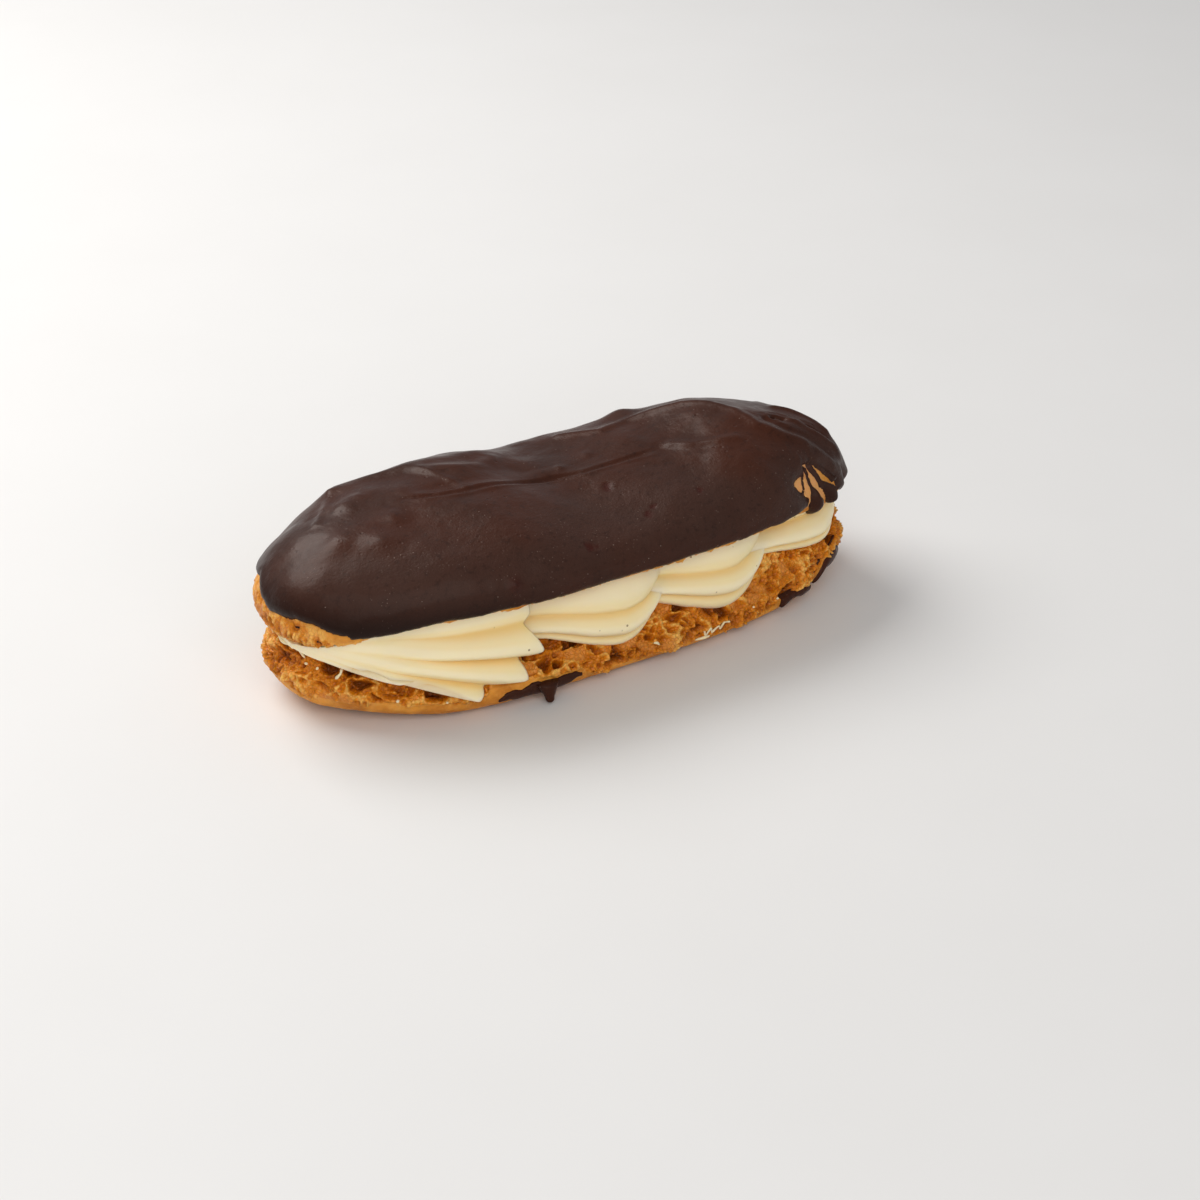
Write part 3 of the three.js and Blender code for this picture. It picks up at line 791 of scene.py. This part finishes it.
def chocolateEnd(turn):
    x = outline(turn)[0]
    wave = 0.06 * np.sin(turn * 9) + 0.04 * np.sin(turn * 23 + 1)
    side = mix(coat["endSide"], coat["endRight"], rightness(x)) + wave - 0.4 * bell(turn, -0.39, 0.05)
    onwards = np.where(turn > 0, turn - 2 * math.pi, turn)
    left = np.interp(onwards, *zip(*coat["leftEnd"]))
    return np.where((onwards > -4.25) & (onwards < -2.1), left + 0.25 * wave, side)


# how far each point lies inside the chocolate's edge, and how thick the chocolate is there
def chocolateCover(turn, angles, skin, bent):
    steps = np.linalg.norm(np.diff(bent, axis=0), axis=-1)
    arc = np.concatenate([np.zeros((1, len(turn))), np.cumsum(steps, 0)])
    end = chocolateEnd(turn)
    arcEnd = np.array([np.interp(end[i], angles, arc[:, i]) for i in range(len(turn))])
    over = arc - arcEnd[None] + 0.25 * lumps(bent, 3.6, 70) + 0.12 * lumps(bent, 0.9, 71)
    scale = coat["mmPerTurn"]
    u = np.broadcast_to(turn * scale, bent.shape[:2]) + 0.35 * lumps(bent, 1.6, 72)
    v = skin[..., 2] + 0.3 * lumps(bent, 1.6, 73)
    ring = tuple((a * scale, b) for a, b in coat["bare"])
    edge = distanceToLine(u, v, ring + ring[:1])
    inPatch = insideOf(u, v, ring)
    over = np.minimum(over, np.where(inPatch, -edge, edge))
    fromBare = np.where(inPatch, 0, edge)
    ragged = 0.4 * lumps(bent, 1.1, 76)
    for x0, y0, radius in spots:
        away = np.hypot(bent[..., 0] - x0, (bent[..., 1] - y0) * 1.6) - radius - ragged
        over = np.minimum(over, away)
        fromBare = np.minimum(fromBare, away)
    for *points, narrow, wide in coat["fingers"]:
        line = tuple((a * scale, b) for a, b in points)
        radius = mix(narrow, wide, smooth(30.5, 25, v))
        over = np.maximum(over, radius - distanceToLine(u, v, line))
    thick = coat["thickness"] * (1 - 0.45 * leftness(bent[..., 0]) * smooth(38, 30, bent[..., 2]))
    thick = thick * mix(0.45, 1, smooth(0, 4, fromBare))
    return over, np.where(inPatch, mix(0.7, 2.1, smooth(31, 25.5, v)), thick)


# folds, the crease, lumps and scars, and where the scars are
def chocolateRelief(angles, bent, over):
    px, py = bent[..., 0], bent[..., 1]
    relief = 0
    for points, high, wide in folds:
        away = distanceToLine(px, py, points) / (coat["foldWidth"] * wide)
        relief = relief + coat["foldHeight"] * high * np.exp(-(away**2))
    lineX, lineY = zip(*crease["line"])
    behind = py - np.interp(px, lineX, lineY)
    along = smooth(lineX[0] - 3, lineX[0] + 5, px) * smooth(lineX[-1], lineX[-1] - 9, px)
    raised = crease["step"] * smooth(-0.5, 1.3, behind) * smooth(crease["stepWidth"], 1, behind)
    raised = raised + crease["lip"] * bell(behind, -1.4, 1)
    raised = raised - crease["groove"] * bell(behind, -0.2, crease["width"])
    relief = relief + along * raised
    for x0, y0, high, wide in domes:
        relief = relief + high * np.exp(-(((px - x0) ** 2 + (py - y0) ** 2) / wide**2))
    scarred = 0
    for x0, y0, radius, sunk in scars:
        near = smooth(1.25, 0.5, np.hypot(px - x0, py - y0) / radius + 0.5 * lumps(bent, 0.9, 77))
        relief = relief - sunk * near
        scarred = np.maximum(scarred, near)
    relief = relief * smooth(0.15, 0.5, angles)[:, None]
    fromPimple = np.linalg.norm(bent - np.array(coat["pimple"]), axis=-1)
    relief = relief + 0.9 * bell(fromPimple, 0, 1.2) + 0.2 * bell(over, 1.4, 1)
    relief = relief + roughness(bent, 9, 2, 74) * 0.22 + lumps(bent, 2.4, 75) * 0.05
    return relief, np.maximum(scarred, bell(fromPimple, 0, 1.5))


def chocolateCoat():
    turn = evenTurns(coat["turns"])
    # rows about 0.45 mm apart from the lower edge upwards, and half that round the crease
    fine = np.linspace(0, math.pi / 2, 4001)
    across, up = 28 * (1 - np.maximum(np.cos(fine), 0) ** 0.85), 12 * np.sin(fine) ** 0.85
    walked = np.cumsum(np.hypot(np.diff(across), np.diff(up)) * (1 + smooth(19, 24, across[1:])))
    rising = np.interp(np.linspace(0, walked[-1], coat["risingRows"]), np.append(0, walked), fine)
    angles = np.concatenate([np.linspace(-1.45, 0, 15)[:-1], rising])
    skin = np.stack([onLid(turn, a, fuller(turn, a)) for a in angles])
    bent = bend(skin)
    over, thick = chocolateCover(turn, angles, skin, bent)
    relief, scarred = chocolateRelief(angles, bent, over)
    inside = np.clip(over / coat["roundedBy"], 0, 1)
    body = np.sqrt(np.maximum(0, 1 - (1 - inside) ** 2))
    bareDepth = coat["sunk"] * smooth(0, -0.6, over)
    lift = np.where(over > 0, coat["gap"] + (thick + relief) * body, bareDepth)
    top = np.stack([bend(onLid(turn, a, lift[k] + fuller(turn, a))) for k, a in enumerate(angles)])
    innerAngles = np.concatenate([[math.pi / 2], np.linspace(1.4, -1.45, 9)])
    under = np.stack([bend(onLid(turn, a, coat["backing"])) for a in innerAngles])
    grid = np.concatenate([top, under, top[:1]])
    # bloom: the front flank round mid height takes a greyer, lighter tone, partly real bloom and partly
    # painted sheen
    bloom = np.clip(bell(bent[..., 2], 33, 5) * smooth(0, -14, bent[..., 1]), 0, 1)
    # painted shade: the colour darkens on the lower flank, most towards the left end
    low = smooth(34, 25, grid[..., 2]) * mix(0.3, 1, smooth(-14, -36, grid[..., 0]))
    marks = {"bloom": bloom, "scar": scarred * (over > 0) * 0.8}
    marks = {name: np.concatenate([m, np.zeros(under.shape[:2]), m[:1]]) for name, m in marks.items()}
    return ringSkin("chocolateCoat", grid, {**marks, "low": low})


finished(chocolateCoat(), chocolateLook, "chocolate", "chocolate_top")

# piped cream
cream = {
    "overhang": 1.5,
    "grooves": (0.5, 0.5, 0.8, 3.0, 2.6, 1.6, 1.0),  # depth of the first shell's, from the top down
    "ribDepth": 1.9,
    "stagger": 1.4,
    # where the first shell's ribs end, from the top down: tips and the notches between them, x and z
    "petals": (
        (-24.5, 29), (-23.2, 24.2), (-25.3, 20.9), (-20.9, 13.9), (-26.5, 12.4), (-25.2, 7.5), (-35.1, 7.9),
        (-37.4, 5.0), (-49.8, 12.2), (-54.6, 12.0), (-60.5, 15.6),
    ),
    # ribs: where one rib ends and the next begins, from the top (0) down (1)
    "shells": (
        {"right": 73.5, "length": 41, "tall": 9.5, "middle": 21, "tail": 0.7, "bulb": 0.34,
         "slant": 4, "square": 3.6, "pole": 26, "ribs": (0, 0.46, 0.78, 1)},
        {"right": 46, "length": 48, "tall": 13, "middle": 18.5, "tail": 0.6, "bulb": 0.32,
         "slant": 3, "square": 3.8, "pole": 27, "ribs": (0, 0.5, 0.74, 1)},
        {"right": 17, "length": 48, "tall": 13.5, "middle": 18, "tail": 0.6, "bulb": 0.32,
         "slant": 3, "square": 3.8, "pole": 26, "ribs": (0, 0.55, 0.79, 0.93, 1)},
    ),
}


# a rib's depth over one side of the cream, then a flat strip, and the same again on the other side
def bothSides(crest):
    strip = np.zeros(7)
    return np.concatenate([crest, strip, crest[::-1], strip])


def crestOf(phase, sharp):
    return np.maximum(np.sin(math.pi * np.clip(phase, 0, 1) ** 1.3), 0) ** sharp


# cream draws in towards the lid's edge, stays under it, and rises only inside the lid
def underLid(p):
    x, y, z = p[..., 0], p[..., 1], p[..., 2]
    pull = (3 - 2.6 * smooth(-52, -64, x)) * smooth(-9, -0.4, z - lidEdge(x))
    pull = pull * smooth(6, 2, halfWidth(x) - np.abs(y))
    y = np.sign(y) * (np.abs(y) - pull)
    inset = halfWidth(x) - np.abs(y)
    limit = lidEdge(x) - 0.5 + edgeLift(x) * (y < 0) + np.clip(inset - 3.2, 0, 5)
    return np.stack([x, y, np.minimum(z, limit)], -1)


# how far the cream stands out past the crust, less at the left end where the halves close on it
def overhang(x):
    return mix(cream["overhang"], 0.1, smooth(-54, -66, x)) + 1.4 * smooth(50, 64, x)


def section(perSide, square, ribs):
    up = np.linspace(0.98, -0.98, perSide)
    across = (1 - np.abs(up) ** square) ** (1 / square)
    down = (1 - up / 0.98) / 2
    rib = np.clip(np.searchsorted(ribs, down, "right") - 1, 0, len(ribs) - 2)
    at = np.array(ribs)
    crest = crestOf((down - at[rib]) / (at[rib + 1] - at[rib]), 0.6)
    crest = np.convolve(np.pad(crest, 2, "edge"), (0.1, 0.2, 0.4, 0.2, 0.1), "valid")
    over = np.linspace(0.8, -0.8, 7)
    upAll = np.concatenate([up, -np.ones(7), up[::-1], np.ones(7)])
    acrossAll = np.concatenate([-across, -over * across[0], across[::-1], over * across[0]])
    return upAll, acrossAll, bothSides(crest)


def pipedShell(shell, rings=96, perSide=92):
    up, across, crest = section(perSide, shell["square"], shell["ribs"])
    share = (np.linspace(0, 1, rings) ** 1.5)[:, None]
    swell = (1 - (1 - np.minimum(1, (share + 0.0008) / shell["bulb"])) ** 2) ** 0.55
    size = swell * mix(1, shell["tail"], smooth(0.3, 0.88, share))
    sooner = shell["slant"] * (1 - up) / 2 + cream["stagger"] * (1 - crest)
    x = shell["right"] - shell["length"] * share - sooner * (1 - share) ** 2
    wide = halfWidth(x) + overhang(x) - cream["ribDepth"] * (1 - crest) * smooth(0, 0.5, size)
    y = across * mix(0.72, 1, size) * wide
    pole = mix(shell["pole"], 25, smooth(0.2, 0.6, share))
    z = mix(pole, shell["middle"] + shell["tall"] * up, size) - 0.5 * crest * smooth(0, 0.5, size)
    grid = bend(underLid(np.stack(np.broadcast_arrays(x, y, z), -1)))
    tip = bend(np.array([shell["right"] - shell["slant"] * 0.3, 0, shell["pole"]]))
    tail = bend(np.array([shell["right"] - shell["length"] - 1, 0, shell["middle"]]))
    # the groove mark carries painted shade into the grooves and a painted highlight onto the crests
    shaded = np.broadcast_to(1 - crest, grid.shape[:2]) * smooth(0, 0.5, size)
    groove = np.concatenate([[crest * 0], shaded, [crest * 0]])
    return capped(grid, tip, tail), groove


# seven points that lead from one side of the cream to the other
def bridged(side, raisedBy=0):
    x, y, z = (side[:, n, None] for n in range(3))
    k = np.linspace(0, 1, 9)[1:-1]
    return np.stack(np.broadcast_arrays(x, mix(y, -y, k), z + raisedBy), -1)


# the long first shell, whose ribs fan out to the right and end in separate pointed petals
def fannedShell(rings=120, perSide=150):
    points = np.array(cream["petals"])
    knots = np.array([0, 0.62, 1, 1.62, 2, 2.62, 3, 3.62, 4, 4.62, 5])
    v = np.linspace(0, 5, perSide)
    # each petal's edge bulges a little, and its tip is rounded
    part = np.clip(np.searchsorted(knots, v, "right") - 1, 0, 9)
    bulge = np.sin(math.pi * (v - knots[part]) / (knots[part + 1] - knots[part]))
    endX = np.interp(v, knots, points[:, 0]) + np.where(part % 2 == 0, 0.5, 1.1) * bulge
    endZ = np.interp(v, knots, points[:, 1])
    softer = (0.06, 0.14, 0.2, 0.2, 0.2, 0.14, 0.06)
    endX, endZ = (np.convolve(np.pad(e, 3, "edge"), softer, "valid") for e in (endX, endZ))
    crest = crestOf(v - np.floor(np.minimum(v, 5 - 1e-9)), 0.75)
    startX, startZ = np.full(perSide, -71.5), mix(23, 17.8, v / 5)
    s = (np.linspace(0, 1, rings) ** 0.9)[:, None]
    x = mix(startX, endX, s)
    sag = 0.8 * np.sin(math.pi * s) * (v / 5)
    z = mix(startZ, endZ, s**1.15) - sag
    deep = np.interp(v, (0, 0.5, 1, 2, 3, 4, 5), cream["grooves"])
    depth = deep * smooth(0.2, 1, s) * (1 - crest)
    hang = 0.7 * smooth(0.5, 1, s) * smooth(2, 3.4, v)
    y = -(halfWidth(x) + overhang(x) + hang - depth)
    front = np.stack([x, y, z], -1)
    back = front[:, ::-1] * (1, -1, 1)
    grid = np.concatenate([front, bridged(front[:, -1]), back, bridged(back[:, -1], 2)], 1)
    edge = grid[-1]
    core = np.array([-34.0, 0, 17])
    # the cut ends turn in behind the petals
    inner = []
    for away, sink in ((0.02, 0.35), (0.08, 1.2), (0.2, 2.4), (0.45, 3.5), (0.75, 3), (1, 0)):
        ring = mix(edge, core, away)
        ring[:, 0] -= sink
        inner.append(ring)
    grid = np.concatenate([grid, np.stack(inner)])
    grid = bend(underLid(grid))
    grid = capped(grid, bend(np.array([-72.0, 0, 19.5])))
    strength = np.concatenate([[0], smooth(0, 0.8, s[:, 0]), np.ones(6)])[:, None]
    # the groove mark carries painted shade into the grooves and a painted highlight onto the crests
    return grid, (1 - bothSides(crest)) * strength


def pipedCream():
    pieces = []
    for k, shell in enumerate(cream["shells"]):
        grid, groove = pipedShell(shell)
        grid = grid + facing(grid) * (roughness(grid, 5, 2, 80 + k) * 0.12)[..., None]
        pieces.append(ringSkin("shell%d" % k, grid, {"groove": groove}))
    grid, groove = fannedShell()
    pieces.append(ringSkin("shell3", grid, {"groove": groove}))
    return joined("creamShells", pieces)


finished(pipedCream(), creamLook, "cream", "piped_cream")

# chocolate that dripped on the lower crust
frontDrip = {
    "turns": (-1.95, -1.67),
    "swings": (0.75, 2),
    "thick": 0.3,
    "root": (-19.9, -30.4),  # where the drop hangs, x and y
    "top": 4.9,
    "tip": 0.4,
}
rightSmear = {"turns": (-0.97, -0.43), "swings": (0.85, 1.85), "thick": 0.9}


def smearSkin(name, wanted, outlineAt, seed):
    (t0, t1), (w0, w1) = wanted["turns"], wanted["swings"]
    turn = np.linspace(t0, t1, 110)[:, None]
    swing = np.linspace(w0, w1, 60)[None]
    share = (turn - t0) / (t1 - t0)
    low, high = outlineAt(share)
    at = np.stack(np.broadcast_arrays(share * 18, (swing - w0) * 5, 0 * share), -1)
    across = np.minimum(swing - low, high - swing) * 4.6 + 0.35 * lumps(at, 1.3, seed)
    ends = np.minimum(share, 1 - share) * (t1 - t0) * 60
    inside = np.minimum(across, ends)
    body = np.sqrt(np.clip(1 - (1 - np.clip(inside / 1.3, 0, 1)) ** 2, 0, 1))
    lift = np.where(inside > 0, 0.15 + wanted["thick"] * body + 0.1 * lumps(at, 2.2, seed + 1), -0.5)
    top = bend(onCorner(turn, swing, lift))
    under = bend(onCorner(turn, swing, np.full_like(lift, -0.9)))
    grid = np.concatenate([top, under[:, ::-1]], 1)
    return ringSkin(name, capped(grid, grid[0].mean(0), grid[-1].mean(0)), {"bloom": 0.1})


def dripOutline(share):
    low = 1.25 - 0.25 * np.sin(math.pi * share) + 0.2 * smooth(0.75, 1, share)
    high = mix(1.85, 1.7, share) * smooth(-0.4, 0.25, share) + 0.1 * np.sin(share * 17)
    return low, high


def frontSmearSkin():
    smear = smearSkin("frontDrip", frontDrip, dripOutline, 90)
    x, y = frontDrip["root"]
    steps, around = 24, 28
    t = np.linspace(0, 1, steps)[:, None]
    a = np.linspace(0, 2 * math.pi, around, endpoint=False)[None]
    radius = mix(2.2, 0.45, t**0.85) + 0.12 * bell(t, 0.86, 0.12)
    radius = radius * np.sqrt(np.clip((1 - t) * 14, 0, 1))
    z = mix(frontDrip["top"], frontDrip["tip"], t)
    middleY = y + mix(1.6, 0, t**0.7)
    grid = np.stack(np.broadcast_arrays(x + radius * 1.25 * np.cos(a), middleY + radius * np.sin(a), z), -1)
    drop = ringSkin("drop", capped(grid, (x, y + 1.6, frontDrip["top"] + 0.3)), {"bloom": 0.1})
    return joined("frontDrip", [smear, drop])


finished(frontSmearSkin(), chocolateLook, "chocolate", "chocolate_drip")


def rightOutline(share):
    low = 1.1 + 0.2 * np.sin(share * 12)
    high = 1.6 + 0.15 * np.sin(share * 9 + 1) - 0.5 * bell(share, 0.45, 0.06)
    return low, high


rightSkin = smearSkin("rightSmear", rightSmear, rightOutline, 95)
finished(rightSkin, chocolateLook, "chocolate", "chocolate_smear")

# cream left on the crust: threads and small bits
bits = {
    # threads: turn and height along each, then thickness
    "threads": (
        (((-3.16, 20.6), (-3.1, 19.6), (-3.05, 19.2), (-3.0, 19.4), (-2.94, 18.9)), 0.42),
        (((-3.06, 19.3), (-3.05, 18.2), (-3.03, 17.6)), 0.34),
        (((-2.95, 18.9), (-2.93, 17.8), (-2.9, 17.2)), 0.3),
        (((-2.62, 17), (-2.62, 15.4), (-2.635, 13.6)), 0.35),
        (((-1.345, 4.3), (-1.335, 5.2), (-1.325, 4.6), (-1.33, 3.9), (-1.315, 4.4), (-1.3, 4.9), (-1.3, 4.0),
          (-1.285, 4.2), (-1.275, 4.8), (-1.27, 3.9), (-1.255, 4.2), (-1.25, 4.7), (-1.24, 3.9),
          (-1.228, 4.5)), 0.2),
        (((-1.35, 2.9), (-1.335, 2.7), (-1.32, 2.7), (-1.31, 2.9)), 0.3),
        (((-1.5, 7.6), (-1.49, 6.4), (-1.485, 5.6)), 0.26),
    ),
    # bits: turn, height, size
    "bits": (
        (-3.04, 17.4, 0.6), (-2.98, 18.2, 0.75), (-2.93, 16.9, 0.6), (-2.87, 16.3, 0.5), (-2.75, 15.2, 0.4),
        (-2.33, 8.8, 0.45), (-2.18, 7.4, 0.35), (-1.12, 6.3, 0.35), (-0.98, 6, 0.4),
    ),
}


def tube(name, points, radii, around=12):
    fine = np.linspace(0, len(points) - 1, len(points) * 5)
    knots = np.arange(len(points))
    middle = np.stack([np.interp(fine, knots, points[:, k]) for k in range(3)], -1)
    for _ in range(4):
        middle[1:-1] = (middle[:-2] + 2 * middle[1:-1] + middle[2:]) / 4
    thick = np.interp(fine, knots, radii)
    thick = thick * np.sqrt(np.clip(np.minimum(fine, fine[-1] - fine) * 3 + 0.01, 0, 1))
    along = np.gradient(middle, axis=0)
    along /= np.maximum(np.linalg.norm(along, axis=-1, keepdims=True), 1e-9)
    side = np.cross(along, (0.3, 0.2, 1))
    side /= np.maximum(np.linalg.norm(side, axis=-1, keepdims=True), 1e-9)
    other = np.cross(along, side)
    a = np.linspace(0, 2 * math.pi, around, endpoint=False)[None, :, None]
    grid = middle[:, None] + thick[:, None, None] * (np.cos(a) * side[:, None] + np.sin(a) * other[:, None])
    # the bits take a little of the cream's painted crest highlight through the groove mark
    return ringSkin(name, capped(grid, middle[0], middle[-1]), {"groove": 0.2})


# the place on the lower half's skin nearest to a point well outside it
def onBase(turn, height):
    outside = bend(inward(np.array(turn), -2.5, np.array(float(height)))) + bun["shift"]
    _, at, _, _ = bpy.data.objects["chouxBase"].closest_point_on_mesh(Vector(outside) * 0.001)
    return np.array(at) * 1000 - bun["shift"]


def creamBits():
    pieces = []
    for k, (line, thick) in enumerate(bits["threads"]):
        points = np.array([onBase(turn, height) for turn, height in line])
        radii = thick * (1 + 0.35 * np.sin(np.arange(len(points)) * 2.3 + k))
        pieces.append(tube("thread%d" % k, points, radii))
    for k, (turn, height, size) in enumerate(bits["bits"]):
        at = onBase(turn, height)
        way = np.array([math.sin(k * 2.1), 0.4 * math.cos(k * 1.7), 0.5 * math.sin(k * 3.1 + 1)]) * size
        radii = np.array([0.5, 1, 0.6]) * size * 0.8
        pieces.append(tube("bit%d" % k, np.array([at - way, at, at + way]), radii))
    return joined("creamBits", pieces)


finished(creamBits(), creamLook, "cream")

# camera, light and floor
view = {
    "from": (-273.36, -501.17, 330.96),  # mm
    "at": (12.47, 4.85, 0),
    "lens": 85,
}
room = {
    "floorHalf": 4,  # metres, as in the rest of this dictionary
    "floorTop": -0.00005,
    "sky": (0.95, 0.97, 1, 1),
    "skyStrength": 0.35,
    "lampColour": (1, 0.98, 0.95),
    "lampsAimAt": (0, 0, 0.02),
    # place, size, watts
    "windowLight": ((-0.28, 0.54, 0.64), (0.75, 0.55), 7.2),
    "frontFill": ((-0.3, -0.88, 0.66), (1.2, 0.9), 6.2),
}


def turnTowards(thing, at, target):
    thing.rotation_euler = (Vector(target) - Vector(at)).to_track_quat("-Z", "Y").to_euler()


def placeCamera():
    data = bpy.data.cameras.new("camera")
    data.lens = view["lens"]
    data.sensor_width = 36
    data.clip_start, data.clip_end = 0.01, 10
    camera = placed("camera", data)
    camera.location = Vector(view["from"]) * 0.001
    turnTowards(camera, view["from"], view["at"])
    bpy.context.scene.camera = camera


def softbox(name):
    at, size, watts = room[name]
    data = bpy.data.lights.new(name, "AREA")
    data.shape = "RECTANGLE"
    data.size, data.size_y = size
    data.energy = watts
    data.color = room["lampColour"]
    lamp = placed(name, data)
    lamp.location = at
    turnTowards(lamp, at, room["lampsAimAt"])


def floorAndLight():
    mesh = bpy.data.meshes.new("floor")
    half, top = room["floorHalf"], room["floorTop"]
    corners = [(-half, -half, top), (half, -half, top), (half, half, top), (-half, half, top)]
    mesh.from_pydata(corners, [], [(0, 1, 2, 3)])
    floor = placed("floor", mesh)
    p = Paint("paleFloor")
    tone = p.blend(p.noise(60, 3), (0.74, 0.73, 0.72), (0.77, 0.762, 0.755))
    mesh.materials.append(p.finish(Base_Color=tone, Roughness=0.6))
    world = bpy.data.worlds.new("room")
    bpy.context.scene.world = world
    world.use_nodes = True
    sky = world.node_tree.nodes["Background"]
    sky.inputs["Color"].default_value = room["sky"]
    sky.inputs["Strength"].default_value = room["skyStrength"]
    softbox("windowLight")
    softbox("frontFill")
    bpy.context.scene.view_settings.view_transform = "Standard"


placeCamera()
floorAndLight()
print("camera, light and floor ready")
